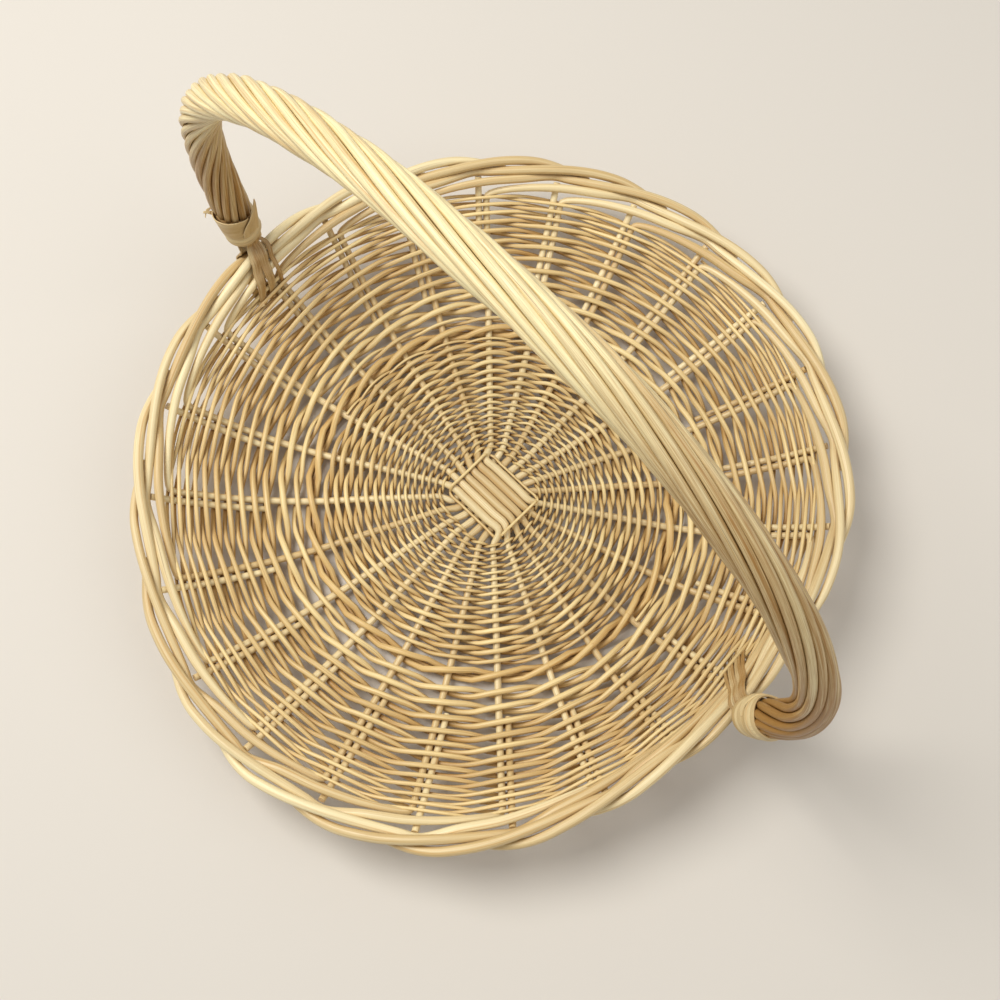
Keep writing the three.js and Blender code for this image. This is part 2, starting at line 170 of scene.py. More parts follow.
def surface_slope(radius):
    if radius < BASE_RADIUS:
        return -2 * BASE_DOME * radius / BASE_RADIUS ** 2
    return 2 * (RIM_HEIGHT - FOOT_HEIGHT) * (radius - BASE_RADIUS) / (RIM_RADIUS - BASE_RADIUS) ** 2


def uneven(table, angle):
    """A smooth value between those that a table gives at equal steps round the basket."""
    place = angle / math.tau * len(table)
    first = math.floor(place)
    share = place - first
    a, b, c, d = (table[(first + k) % len(table)] for k in (-1, 0, 1, 2))
    return b + 0.5 * share * (c - a + share * (2 * a - 5 * b + 4 * c - d + share * (3 * (b - c) + d - a)))


def drawn_in(radius, angle, height, share):
    """The handle draws the rim in and up at its ends, and no hand-made basket is quite even."""
    swing = share * math.cos(2 * angle)
    reach = radius * (1 - RIM_OVAL * swing + share * uneven(RIM_UNEVEN, angle))
    turn = angle + math.radians(uneven(STAKE_STRAY, angle))
    return Vector((reach * math.cos(turn), reach * math.sin(turn), height + RIM_SADDLE * swing))


def wall_share(radius):
    return (max(0.0, radius - BASE_RADIUS) / (RIM_RADIUS - BASE_RADIUS)) ** 2


def on_surface(radius, angle, lift):
    slope = surface_slope(radius)
    length = math.hypot(1, slope)
    reach = radius - lift * slope / length
    return drawn_in(reach, angle, surface_height(radius) + lift / length, wall_share(radius))


def radius_below_rim(distance):
    radius = RIM_RADIUS
    for step in range(40):
        radius -= distance / 40 / math.hypot(1, surface_slope(radius))
    return radius


def in_border(angle, around, radius):
    reach = RIM_RADIUS - radius * math.cos(around)
    return drawn_in(reach, angle, RIM_HEIGHT + radius * math.sin(around), 1.0)


def arm_angle(arm):
    return (arm + 0.5) * ARM_STEP + ARM_TURN


def ease(share):
    share = min(1.0, max(0.0, share))
    return share * share * (3 - 2 * share)


def through(points, most):
    """A smooth line through points of x, y, z and half thickness, with a sample at most so far apart."""
    points = [Vector(point) for point in points]
    line = []
    for i in range(len(points) - 1):
        b, c = points[i], points[i + 1]
        a = points[i - 1] if i > 0 else b * 2 - c
        d = points[i + 2] if i + 2 < len(points) else c * 2 - b
        gap_ab = max(1e-6, (b - a).length) ** 0.5
        gap_bc = max(1e-6, (c - b).length) ** 0.5
        gap_cd = max(1e-6, (d - c).length) ** 0.5
        slope_b = ((b - a) / gap_ab - (c - a) / (gap_ab + gap_bc) + (c - b) / gap_bc) * gap_bc
        slope_c = ((c - b) / gap_bc - (d - b) / (gap_bc + gap_cd) + (d - c) / gap_cd) * gap_bc
        count = max(1, math.ceil((c - b).length / most))
        for step in range(count):
            t = step / count
            line.append(
                b * (2 * t ** 3 - 3 * t ** 2 + 1) + slope_b * (t ** 3 - 2 * t ** 2 + t)
                + c * (3 * t ** 2 - 2 * t ** 3) + slope_c * (t ** 3 - t ** 2)
            )
    line.append(points[-1])
    return line


def thick(point, half):
    return (point.x, point.y, point.z, half)


# Laying rods

def mark_rod(rod, length, spread=1.0):
    """Gives a rod its own tone, marks its cut ends, and lets its grain run along it in metres."""
    mesh = rod.data
    flat = np.zeros(len(mesh.loops) * 2)
    mesh.uv_layers[0].data.foreach_get("uv", flat)
    flat = flat.reshape(-1, 2)
    flat[:, 1] = flat[:, 1] * length * MM + chance.uniform(0, 40)
    mesh.uv_layers[0].data.foreach_set("uv", flat.ravel())
    mesh.uv_layers[0].name = "grain"
    tone = mesh.attributes.new("tone", "FLOAT", "POINT")
    tone.data.foreach_set("value", np.full(len(mesh.vertices), 0.5 + spread * (chance.random() - 0.5)))
    cut = mesh.attributes.new("cut", "FLOAT", "FACE")
    cut.data.foreach_set("value", [1.0 if len(face.vertices) > 4 else 0.0 for face in mesh.polygons])


def lay_line(path):
    """A plain line through the path, ready to be given a thickness."""
    bpy.ops.object.select_all(action="DESELECT")
    bpy.ops.curve.primitive_nurbs_path_add()
    rod = bpy.context.object
    line = rod.data
    line.splines.clear()
    spline = line.splines.new("POLY")
    spline.points.add(len(path) - 1)
    places = np.array([tuple(point) for point in path])
    length = float(np.linalg.norm(np.diff(places[:, :3], axis=0), axis=1).sum())
    spline.points.foreach_set("co", np.column_stack([places[:, :3] * MM, np.ones(len(path))]).ravel())
    return rod, places, length


def lay_rod(path, sides=2, spread=1.0):
    """A round rod along a path of x, y, z, half thickness and, if given, how much deeper its tone is."""
    rod, places, length = lay_line(path)
    rod.data.splines[0].points.foreach_set("radius", places[:, 3] * MM)
    rod.data.bevel_depth = 1.0
    rod.data.bevel_resolution = sides
    rod.data.use_fill_caps = True
    bpy.ops.object.convert(target="MESH")
    mark_rod(rod, length, spread)
    if places.shape[1] > 4:
        tone = rod.data.attributes["tone"].data
        values = np.zeros(len(tone))
        tone.foreach_get("value", values)
        # The points of the two cut ends come first
        deeper = np.concatenate([places[[-1, 0], 4], places[:, 4]])
        tone.foreach_set("value", values + np.repeat(deeper, len(values) // len(deeper)))
    return rod


def lay_band(line, thickness, crown=0.0, spread=1.0):
    """A flat strip through places, each a middle, a sideways and an outward direction, and a width."""
    bpy.ops.object.select_all(action="DESELECT")
    bpy.ops.mesh.primitive_grid_add(x_subdivisions=4, y_subdivisions=len(line) - 1, size=1.0)
    band = bpy.context.object
    length = sum((line[i + 1][0] - line[i][0]).length for i in range(len(line) - 1))
    for point in band.data.vertices:
        middle, side, out, width = line[round((point.co.y + 0.5) * (len(line) - 1))]
        swell = crown * width * (1 - 4 * point.co.x ** 2)
        point.co = (middle + side * point.co.x * width + out * swell) * MM
    wall = band.modifiers.new("thickness", "SOLIDIFY")
    wall.thickness = thickness * MM
    wall.offset = -1.0
    bpy.ops.object.modifier_apply(modifier="thickness")
    bpy.ops.object.mode_set(mode="EDIT")
    bpy.ops.mesh.select_all(action="SELECT")
    bpy.ops.mesh.normals_make_consistent(inside=False)
    bpy.ops.object.mode_set(mode="OBJECT")
    mark_rod(band, length, spread)
    return band


def tone_up(rod, deeper):
    """Makes a rod's tone deeper by what is given for each place on it."""
    values = rod.data.attributes["tone"].data
    for point, value in zip(rod.data.vertices, values):
        value.value += deeper(point.co)


def finish_piece(rods, name, nodes, finish):
    """Joins the rods of one piece and gives it its finish and its place in the frame."""
    bpy.ops.object.select_all(action="DESELECT")
    for rod in rods:
        rod.select_set(True)
    bpy.context.view_layer.objects.active = rods[0]
    if len(rods) > 1:
        bpy.ops.object.join()
    piece = rods[0]
    piece.name = name
    piece.data.name = name
    bpy.ops.object.shade_smooth_by_angle(angle=math.radians(50))
    piece.data.materials.clear()
    piece.data.materials.append(finish)
    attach(piece, "root")
    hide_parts(*nodes)
    return piece


# Finishes

def colour(red, green, blue):
    """A colour as seen, 0 to 255, made linear."""
    linear = []
    for value in (red, green, blue):
        value = value / 255
        linear.append(value / 12.92 if value <= 0.04045 else ((value + 0.055) / 1.055) ** 2.4)
    return (*linear, 1.0)


def place_node(tree, kind, inputs=(), **settings):
    """Adds a node, sets it, and fills its inputs with values or with other nodes' outputs."""
    node = tree.nodes.new(kind)
    for name, value in settings.items():
        setattr(node, name, value)
    for key, value in dict(inputs).items():
        socket = node.inputs[key]
        if isinstance(value, bpy.types.NodeSocket):
            tree.links.new(value, socket)
        else:
            socket.default_value = value
    return node


def calc(tree, operation, a, b=0.0, clamp=False):
    return place_node(tree, "ShaderNodeMath", {0: a, 1: b}, operation=operation, use_clamp=clamp).outputs[0]


def mix_colours(tree, share, under, over, blend="MIX"):
    return place_node(
        tree, "ShaderNodeMix", {0: share, 6: under, 7: over}, data_type="RGBA", blend_type=blend,
    ).outputs[2]


def new_group(name, inputs, outputs):
    group = bpy.data.node_groups.new(name, "ShaderNodeTree")
    for title, kind, value in inputs:
        socket = group.interface.new_socket(title, in_out="INPUT", socket_type=kind)
        if value is not None:
            socket.default_value = value
    for title, kind in outputs:
        group.interface.new_socket(title, in_out="OUTPUT", socket_type=kind)
    start = group.nodes.new("NodeGroupInput")
    end = group.nodes.new("NodeGroupOutput")
    return group, start.outputs, end.inputs


def make_rod_grain():
    """Fibres, mottling and small knots that run along a rod."""
    group, given, put_out = new_group(
        "rod_grain",
        [("Grain", "NodeSocketVector", None), ("Fibre scale", "NodeSocketFloat", 5.0)],
        [("Fibre", "NodeSocketFloat"), ("Mottle", "NodeSocketFloat"), ("Drift", "NodeSocketFloat"),
         ("Patch", "NodeSocketFloat"), ("Knot", "NodeSocketFloat")],
    )
    parts = place_node(group, "ShaderNodeSeparateXYZ", {0: given["Grain"]}).outputs
    turn = calc(group, "MULTIPLY", parts[0], math.tau)
    across = calc(group, "COSINE", turn)
    beside = calc(group, "SINE", turn)

    def wrapped(around, along):
        wide = calc(group, "MULTIPLY", across, around)
        deep = calc(group, "MULTIPLY", beside, around)
        far = calc(group, "MULTIPLY", parts[1], along)
        return place_node(group, "ShaderNodeCombineXYZ", {0: wide, 1: deep, 2: far}).outputs[0]

    def noise(vector, detail, rough):
        return place_node(
            group, "ShaderNodeTexNoise",
            {"Vector": vector, "Scale": 1.0, "Detail": detail, "Roughness": rough},
        ).outputs[0]

    fibre = noise(wrapped(given["Fibre scale"], 45.0), 3.0, 0.6)
    mottle = noise(wrapped(0.9, 70.0), 3.0, 0.65)
    drift = noise(wrapped(0.2, 9.0), 1.0, 0.5)
    patch = place_node(
        group, "ShaderNodeMapRange",
        {"Value": noise(wrapped(0.35, 21.0), 2.0, 0.5), "From Min": 0.56, "From Max": 0.72},
    ).outputs[0]
    spots = place_node(
        group, "ShaderNodeTexVoronoi", {"Vector": wrapped(0.75, 13.0), "Scale": 1.0, "Randomness": 1.0},
    ).outputs["Distance"]
    knot = place_node(
        group, "ShaderNodeMapRange",
        {"Value": spots, "From Min": 0.05, "From Max": 0.13, "To Min": 1.0, "To Max": 0.0},
    ).outputs[0]
    made = (("Fibre", fibre), ("Mottle", mottle), ("Drift", drift), ("Patch", patch), ("Knot", knot))
    for title, value in made:
        group.links.new(value, put_out[title])
    return group


def make_rod_colour():
    """Mixes a rod's pale and deep colour by tone and grain, with amber patches, knots and pale cut ends."""
    colours = ("Pale", "Deep", "Patch colour", "Knot colour", "Cut colour")
    values = (
        ("Tone", 0.5), ("Cut", 0.0), ("Patch", 0.0), ("Streaks", 0.9),
        ("Fibre", 0.5), ("Mottle", 0.5), ("Drift", 0.5), ("Knot", 0.0),
    )
    group, given, put_out = new_group(
        "rod_colour",
        [(title, "NodeSocketColor", None) for title in colours]
        + [(title, "NodeSocketFloat", value) for title, value in values],
        [("Colour", "NodeSocketColor")],
    )

    def swing(value, amount):
        return calc(group, "MULTIPLY", calc(group, "SUBTRACT", value, 0.5), amount)

    depth = calc(group, "ADD", swing(given["Tone"], 0.75), 0.42)
    depth = calc(group, "ADD", depth, swing(given["Fibre"], given["Streaks"]))
    depth = calc(group, "ADD", depth, swing(given["Mottle"], 0.9))
    depth = calc(group, "ADD", depth, swing(given["Drift"], 0.9), clamp=True)
    body = mix_colours(group, depth, given["Pale"], given["Deep"])
    patch = calc(group, "MULTIPLY", given["Patch"], 0.5)
    patched = mix_colours(group, patch, body, given["Patch colour"], "DARKEN")
    knot = calc(group, "MULTIPLY", given["Knot"], 0.7)
    knotted = mix_colours(group, knot, patched, given["Knot colour"])
    ended = mix_colours(group, given["Cut"], knotted, given["Cut colour"])
    group.links.new(ended, put_out["Colour"])
    return group


ivory_cut = colour(226, 208, 170)
knot_brown = colour(110, 76, 40)
amber = colour(206, 152, 78)
# Tints of the painted shade that darkens the creases between rods, darkest first
weave_painted_shade = (colour(92, 62, 36), colour(176, 142, 100))
stake_painted_shade = (colour(120, 84, 48), colour(206, 174, 130))
handle_painted_shade = (colour(188, 160, 102), colour(238, 221, 176))
rod_grain = make_rod_grain()
rod_colour = make_rod_colour()


def make_willow(name, pale, deep, fibre_scale, gloss, relief, painted_shade_tints, painted_shade_share, streaks=0.9):
    """Peeled willow or cane: satin skin with fine fibres along the rod, and painted shade in the creases
    between rods.
    """
    finish = bpy.data.materials.new(name)
    finish.use_nodes = True
    tree = finish.node_tree
    skin = tree.nodes["Principled BSDF"]
    grain_map = place_node(tree, "ShaderNodeUVMap", uv_map="grain").outputs[0]
    tone = place_node(tree, "ShaderNodeAttribute", attribute_name="tone").outputs["Fac"]
    ends = place_node(tree, "ShaderNodeAttribute", attribute_name="cut").outputs["Fac"]
    grain = place_node(tree, "ShaderNodeGroup", node_tree=rod_grain)
    tree.links.new(grain_map, grain.inputs["Grain"])
    grain.inputs["Fibre scale"].default_value = fibre_scale
    tint = place_node(tree, "ShaderNodeGroup", node_tree=rod_colour)
    colours = (
        ("Pale", pale), ("Deep", deep), ("Patch colour", amber), ("Knot colour", knot_brown),
        ("Cut colour", ivory_cut),
    )
    for title, value in colours:
        tint.inputs[title].default_value = value
    for title in ("Fibre", "Mottle", "Drift", "Patch", "Knot"):
        tree.links.new(grain.outputs[title], tint.inputs[title])
    tint.inputs["Streaks"].default_value = streaks
    tree.links.new(tone, tint.inputs["Tone"])
    tree.links.new(ends, tint.inputs["Cut"])
    # Painted shade: ambient occlusion darkens the colour in the creases and hollows between rods, where
    # shade falls
    hollow = place_node(tree, "ShaderNodeAmbientOcclusion", {"Distance": 0.005}, samples=8).outputs["AO"]
    shade = place_node(tree, "ShaderNodeValToRGB", {0: hollow})
    for place, tint_at in ((0.0, painted_shade_tints[0]), (0.25, painted_shade_tints[1]), (0.6, (1.0, 1.0, 1.0, 1.0))):
        stop = shade.color_ramp.elements[0] if place == 0.0 else shade.color_ramp.elements.new(place)
        stop.color = tint_at
    shaded = mix_colours(tree, painted_shade_share, tint.outputs["Colour"], shade.outputs[0], "MULTIPLY")
    tree.links.new(shaded, skin.inputs["Base Color"])
    rough = place_node(
        tree, "ShaderNodeMapRange",
        {"Value": grain.outputs["Mottle"], "From Min": 0.3, "From Max": 0.7,
         "To Min": gloss - 0.07, "To Max": gloss + 0.1},
    ).outputs[0]
    tree.links.new(rough, skin.inputs["Roughness"])
    dent = calc(tree, "MULTIPLY", grain.outputs["Knot"], 0.5)
    height = calc(tree, "SUBTRACT", grain.outputs["Fibre"], dent)
    bump = place_node(
        tree, "ShaderNodeBump", {"Strength": relief, "Distance": 0.0004, "Height": height},
    ).outputs[0]
    tree.links.new(bump, skin.inputs["Normal"])
    return finish


stake_finish = make_willow(
    "stake_willow", colour(244, 228, 182), colour(200, 168, 112), 5.0, 0.40, 0.35, stake_painted_shade, 0.4)
weaver_finish = make_willow(
    "weaver_willow", colour(243, 219, 160), colour(176, 132, 66), 5.0, 0.40, 0.35, weave_painted_shade, 0.85)
wale_finish = make_willow(
    "wale_willow", colour(241, 213, 150), colour(184, 139, 74), 5.0, 0.40, 0.35, weave_painted_shade, 0.8)
handle_finish = make_willow(
    "handle_willow", colour(244, 230, 181), colour(163, 120, 61), 6.0, 0.38, 0.4, handle_painted_shade, 0.6, 1.5)
core_finish = make_willow(
    "handle_core_willow", colour(188, 150, 96), colour(138, 100, 56), 6.0, 0.5, 0.5, handle_painted_shade, 0.6)
binding_finish = make_willow(
    "binding_cane", colour(234, 214, 166), colour(192, 162, 110), 7.0, 0.46, 0.45, stake_painted_shade, 0.7)


# Stakes: each crosses the base, runs up both sides and is laid down into the border

def rope_point(angle, t, radius):
    around = math.radians(float(np.interp(t, ROPE_STAKES, ROPE_AROUND)))
    return in_border(angle - t * ARM_STEP, around, radius)


def stake_half(radius):
    return 1.95 + 0.25 * ease((radius - 25) / 60)


def arm_path(angle, layer, along, across):
    """Half a stake, from the middle of the crossing to its end in the border."""
    held = SLATH_HALF_LENGTH + (SLATH_LONGER_END if along[0] > 0.5 else 0)
    end = Vector((along[0] * held + across[0], along[1] * held + across[1], 0))
    end.z = surface_height(0) + layer * SLATH_LAYER
    halfway = end * 0.5 + Vector((across[0] * 0.5, across[1] * 0.5, end.z * 0.5))
    path = [thick(halfway, SLATH_STICK_HALF), thick(end, SLATH_END_HALF)]
    for radius in ARM_RADII:
        path.append(thick(on_surface(radius, angle, 0), stake_half(radius)))
    path.append(thick(on_surface(radius_below_rim(LAY_DOWN + 2.5), angle, 0), STAKE_HALF))
    size = BORDER_HALF + chance.uniform(-0.3, 0.2)
    winding = ROPE_RADIUS + chance.uniform(-0.15, 0.35)
    for t, down, lift in RISER:
        spot = on_surface(radius_below_rim(down), angle - t * ARM_STEP, lift)
        path.append(thick(spot, STAKE_HALF + (size - STAKE_HALF) * ease(t / 1.4)))
    far = ROPE_STAKES[-1] + chance.uniform(-0.12, 0)
    t = ROPE_STAKES[0]
    while t < far - 0.1:
        path.append(thick(rope_point(angle, t, winding), size - 0.4 * ease((t - far + 0.9) / 0.9)))
        t += 0.2
    path.append(thick(rope_point(angle, far, winding), size - 0.5))
    return path


for layer, stem in ((1, "long_stake"), (-1, "cross_stake")):
    heading = 0.0 if layer > 0 else math.pi / 2
    along = (math.cos(heading), math.sin(heading))
    for stake in range(STAKES_EACH_WAY):
        place = stake - (STAKES_EACH_WAY - 1) / 2
        pitch = SLATH_PITCH if layer > 0 else SLATH_PITCH_BELOW
        across = (-along[1] * place * pitch, along[0] * place * pitch)
        spread = place * ARM_STEP
        front = arm_path(heading + spread + ARM_TURN, layer, along, across)
        back = arm_path(heading + math.pi - spread + ARM_TURN, layer, (-along[0], -along[1]), across)
        rod = lay_rod(through(back[::-1] + front, 3.0), 3)
        node = f"{stem}_{stake + 1:02d}"
        finish_piece([rod], f"willow_{node}", [node], stake_finish)

# Bye-stakes: a peg beside each stake, up to just under the border
for arm in range(ARM_COUNT):
    path = []
    top = radius_below_rim(6.6 + chance.uniform(-0.6, 1.4))
    for step in range(9):
        radius = BYE_STAKE_START + (top - BYE_STAKE_START) * step / 8
        angle = arm_angle(arm) + PAIR_PITCH / radius
        path.append(thick(on_surface(radius, angle, 0), 1.8 + 0.35 * min(1, step / 2)))
    node = f"bye_stake_{arm + 1:02d}"
    finish_piece([lay_rod(through(path, 3.0), 3)], f"willow_{node}", [node], stake_finish)


# Weaving

def rod_run(path_at, start, stop, ends, spread):
    """The rods that make one weaver, each cut behind a stake where the next one is joined in."""
    rods = []
    at = start
    while at < stop - 1.5:
        upto = min(stop, ends(at))
        size = chance.uniform(0.94, 1.06)
        count = math.ceil((upto - at) * WEAVE_SAMPLES)
        path = []
        for step in range(count + 1):
            share = step / count
            path.append(path_at(at + (upto - at) * share, size * (1.05 - 0.1 * share)))
        rods.append(lay_rod(path, 2, spread))
        at = upto
    return rods


def climb(start, stop, pitch, lead_in, lead_out):
    """Where each stake is passed, as radius and height of row; the first and last rounds are drawn close."""
    places = []
    radius = start
    last_round = 0
    while last_round <= ARM_COUNT:
        row = pitch(radius) * (lead_in + (1 - lead_in) * ease(len(places) / ARM_COUNT))
        row *= 1 - (1 - lead_out) * ease(last_round / ARM_COUNT)
        places.append((radius, row))
        radius += row / ARM_COUNT / math.hypot(1, surface_slope(radius))
        if radius > stop:
            last_round += 1
    return places


def drawn_to_tie(radius, angle):
    """How far the first rounds are drawn in against the four sides of the crossing."""
    near = 1 - ease((radius - BASE_WEAVE_START) / 22)
    return near * math.cos(2 * angle) ** 2 * (4.6 - 1.8 * max(0.0, math.cos(angle)))


def weave_lean(radius):
    return 0.72 + 0.28 * ease((radius - 45) / 50)


def pairing(places, fill, strand, length):
    """One of two rods that twist round each other and take a stake between them at every half turn."""
    wander = [chance.uniform(-1, 1) for place in range(len(places) + 1)]

    def path_at(place, size):
        first = min(int(place), len(places) - 2)
        share = place - first
        middle, row = (a + (b - a) * share for a, b in zip(places[first], places[first + 1]))
        half = max(0.9, row / 4 * fill(middle) * size)
        turn = math.pi * (place + strand)
        lift = (stake_half(middle) + half) * math.cos(turn)
        slant = (math.sin(turn) - math.sin(3 * turn) / 9) / 1.11
        strayed = wander[first] + (wander[first + 1] - wander[first]) * ease(share)
        shift = row * (weave_lean(middle) * slant / 4 - 0.07 * strayed)
        radius = middle - shift / math.hypot(1, surface_slope(middle))
        paired = ease((middle - BYE_STAKE_START + 8) / 8)
        angle = arm_angle(place) + paired * PAIR_PITCH / 2 / middle
        radius -= drawn_to_tie(middle, angle)
        # Painted light and shade: the strand's tone is paler where it rides over a stake and deeper where it
        # dips behind one
        deeper = (0.06 * ease((middle - 60) / 50) - 0.38) * math.cos(turn)
        return (*on_surface(radius, angle, lift), half, deeper)

    def ends(place):
        radius = places[min(int(place), len(places) - 1)][0]
        stakes = int(length / (radius * ARM_STEP)) + chance.randrange(-2, 3)
        reach = int(place) + max(8, stakes)
        return reach + (reach + strand + 1) % 2

    return rod_run(path_at, 0, len(places) - 1, ends, 0.75)


def base_pitch(radius):
    return 4.3 + 2.0 * ease((radius - 52) / 34)


def side_pitch(radius):
    radii, pitches = zip(*SIDE_PITCHES)
    return float(np.interp(radius, radii, pitches))


def waling(strand):
    """One of three rods that go outside two stakes and inside one, each in turn."""

    def path_at(place, size):
        step = (place + strand) % 3
        front = step if step < 2.5 else step - 3
        shift = 1.5 - front if front >= 0.5 else 2 * front
        lift = 1 - 2 * (0.5 + 0.5 * math.cos(math.pi * min(1, abs(front)))) if front < 1 else 1
        if front > 2:
            lift = 1 - 2 * (0.5 - 0.5 * math.cos(math.pi * (front - 2)))
        half = WALE_HALF * size
        radius = WALE_RADIUS - shift * WALE_PITCH
        inward = -lift * (stake_half(radius) + half)
        # Painted shade and light: the rod's tone is deeper where it passes behind a stake and paler where it
        # comes over one
        return (*on_surface(radius, arm_angle(place), inward), half, 0.15 * lift)

    return rod_run(path_at, -strand, ARM_COUNT - strand + 0.4, lambda place: 99, 0.3)


def tie(strand):
    """The round that ties the crossed sticks, over one pair of groups and under the other."""
    height = surface_height(0)
    path = []
    for side in range(4):
        facing = side * math.pi / 2
        out = Vector((math.cos(facing), math.sin(facing), 0))
        on = Vector((-out.y, out.x, 0))
        over = (side + strand) % 2 == 0
        if side % 2 == 0:
            level = height + (TIE_ABOVE if over else -TIE_BETWEEN)
            away, run = TIE_HALF_LONG, TIE_HALF_ACROSS
        else:
            level = height + (TIE_BETWEEN if over else -TIE_BELOW)
            away, run = TIE_HALF_ACROSS, TIE_HALF_LONG
        for shift in (TIE_CORNER - run, -run * 0.5, 0, run * 0.5, run - TIE_CORNER):
            point = out * (away + 0.9 * strand) + on * shift + Vector((TIE_SHIFT, 0, 0))
            point.z = level
            path.append(thick(point, TIE_HALF))
    path.append(path[0])
    return lay_rod(through(path, 1.2), 2)


def base_fill(radius):
    return 0.76 + 0.17 * ease((radius - 40) / 55)


def side_fill(radius):
    return 0.82 + 0.1 * ease((radius - 160) / 30)


base_rows = climb(BASE_WEAVE_START, BASE_WEAVE_STOP, base_pitch, 1.0, 0.3)
side_rows = climb(SIDE_WEAVE_START, radius_below_rim(SIDE_GAP), side_pitch, 0.3, 0.8)
for strand in range(2):
    node = f"base_weaver_{strand + 1}"
    rods = pairing(base_rows, base_fill, strand, BASE_WEAVER_LENGTH)
    finish_piece([tie(strand)] + rods, f"willow_{node}", [node], weaver_finish)
    node = f"side_weaver_{strand + 1}"
    rods = pairing(side_rows, side_fill, strand, SIDE_WEAVER_LENGTH)
    finish_piece(rods, f"willow_{node}", [node], weaver_finish)
for strand in range(3):
    node = f"wale_rod_{strand + 1}"
    finish_piece(waling(strand), f"willow_{node}", [node], wale_finish)


# Handle: rods twisted like a rope round a thick bow

def leg_angle(end):
    """Where round the border a leg of the handle stands."""
    heading = 0.0 if end > 0 else math.pi
    angle = heading
    for turn in range(4):
        angle = heading - math.radians(uneven(STAKE_STRAY, angle))
    return angle


def half_line(end):
    rim = drawn_in(RIM_RADIUS, leg_angle(end), RIM_HEIGHT, 1.0)
    foot = Vector((rim.x + end * LEG_OUT, 0, rim.z + LEG_UP))
    line = [foot]
    for share in (1 / 3, 2 / 3):
        out = foot.x + (end * HANDLE_HALF_SPAN - foot.x) * math.sin(share * math.pi / 2)
        line.append(Vector((out, 0, foot.z + (HANDLE_SHOULDER - foot.z) * share)))
    for step in range(7):
        turn = step / 6 * math.pi / 2
        reach = end * HANDLE_HALF_SPAN - HANDLE_CROWN_SHIFT
        out = HANDLE_CROWN_SHIFT + reach * max(0.0, math.cos(turn)) ** (2 / HANDLE_SQUARENESS)
        up = HANDLE_SHOULDER + (HANDLE_TOP - HANDLE_SHOULDER) * math.sin(turn) ** (2 / HANDLE_SQUARENESS)
        line.append(Vector((out, 0, up)))
    return line


dense = through([thick(point, 0) for point in half_line(-1)[:-1] + half_line(1)[::-1]], 1.0)
dense = np.array([tuple(point)[:3] for point in dense])
run = np.concatenate([[0], np.cumsum(np.linalg.norm(np.diff(dense, axis=0), axis=1))])
handle_length = float(run[-1])


def handle_point(share):
    return Vector([float(np.interp(share * handle_length, run, dense[:, axis])) for axis in range(3)])


def handle_heading(share):
    ahead = handle_point(min(1.0, share + 0.004)) - handle_point(max(0.0, share - 0.004))
    return ahead.normalized()


def round_handle(share, turn):
    heading = handle_heading(share)
    out = Vector((-heading.z, 0, heading.x))
    return out * math.cos(turn) + Vector((0, 1, 0)) * math.sin(turn)


def twist(share):
    shoulder = ease((share - 0.02) / 0.48)
    return -math.tau * (EVEN_TURNS * share + SHOULDER_TURNS * shoulder)


bow = [thick(handle_point(0.006 + 0.988 * step / 160), BOW_HALF) for step in range(161)]
for beyond, half in ((2, 5.2), (7, 3.6)):
    bow.insert(0, thick(handle_point(0) - handle_heading(0) * beyond, half))
    bow.append(thick(handle_point(1) + handle_heading(1) * beyond, half))
finish_piece([lay_rod(bow, 3)], "willow_handle_bow", ["handle_bow"], core_finish)


def lay_root(end, turn, width, shift, lean):
    """Below the binding a rod is shaved flat, passes over the border and goes down into the side."""
    angle = leg_angle(end)
    inside = math.cos(turn) < 0
    face = 1 if inside else -1
    shift = Vector((0, shift, 0))
    leg_end = 0.0 if end < 0 else 1.0

    def leant(down):
        return Vector((0, end * lean * (down + LEAN_FROM) / LEAN_RUN, 0))

    path = []
    for up in (9, 3):
        share = abs(leg_end - up / handle_length)
        path.append(handle_point(share) + round_handle(share, turn) * ROOT_RING)
    over_border = ((1.3, -6), (0.8, -1), (0.3, 4)) if inside else ((2.3, -6), (2.9, -1), (3.4, 4))
    for bend, down in over_border:
        spot = in_border(angle, bend, ROPE_RADIUS + BORDER_HALF + ROOT_CLEAR)
        path.append(spot + shift + leant(down))
    for down, lift in LEFT_ROOT_DOWN if end < 0 else RIGHT_ROOT_DOWN:
        spot = on_surface(radius_below_rim(down), angle, face * lift)
        path.append(spot + shift * (1 + down / 60) + leant(down))
    path = [Vector(point[:3]) for point in through([thick(point, 0) for point in path], 2.0)]
    sway = chance.uniform(-0.12, 0.12)
    line = []
    for i, point in enumerate(path):
        heading = (path[min(i + 1, len(path) - 1)] - path[max(i - 1, 0)]).normalized()
        side = Vector((0, 1, 0))
        side = (side - heading * heading.y).normalized()
        out = side.cross(heading) * (end * face)
        side = (side + out * (sway + 0.1 * math.sin(0.3 * i + width))).normalized()
        share = i / (len(path) - 1)
        broad = width * (0.75 + 0.35 * ease(share * 3) - 0.3 * ease(share * 2 - 1))
        line.append((point, side, out, broad))
    band = lay_band(line, ROOT_THICKNESS, 0.08, 0.5)
    tone_up(band, lambda point: 0.45)
    return band


def handle_shade_and_tone(point):
    """The handle is deeper in tone down its legs and towards the right, and paler on top: painted shade and
    painted light, partly also the rods' own deeper colour lower down.
    """
    down = ease((0.26 - point.z) / 0.12)
    right = ease((point.x - 0.03) / 0.14)
    return 0.85 * down + 0.68 * right - 0.35


